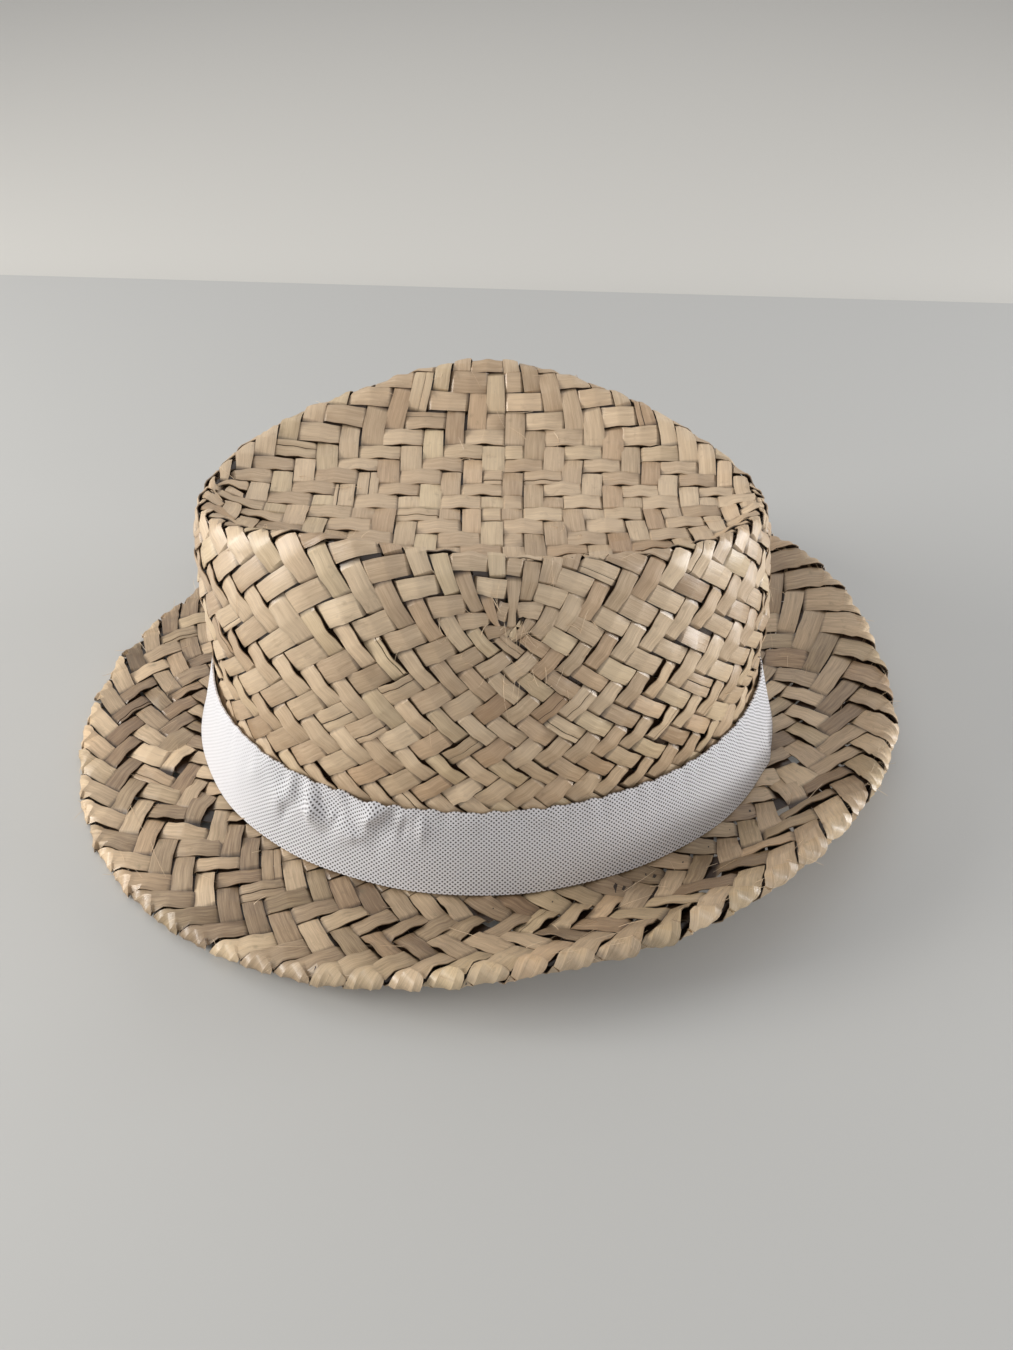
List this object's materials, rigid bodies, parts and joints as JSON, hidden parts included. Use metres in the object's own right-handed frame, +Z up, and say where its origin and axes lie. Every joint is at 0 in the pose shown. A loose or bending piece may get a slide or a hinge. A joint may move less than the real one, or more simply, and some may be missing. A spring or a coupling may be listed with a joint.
{
  "type": "straw fedora",
  "caption": "Plaited straw fedora with a long dent in its crown, a turned-up brim with a folded border, and a pale cloth band.",
  "frame": {"origin": "centre of the bounding box, on the surface the hat stands on", "axes": "+X points to the back of the hat, -X to its front, +Z up"},
  "size_m": [0.2922, 0.2498, 0.1185],
  "materials": {
    "crown_straw": "satin plaited straw",
    "brim_straw": "satin plaited straw, a little darker",
    "band_cloth": "matte nonwoven cloth with small dots"
  },
  "bodies": {
    "root": {"crown": "crown_straw", "brim": "brim_straw", "hat_band": "band_cloth"}
  },
  "joints": []
}
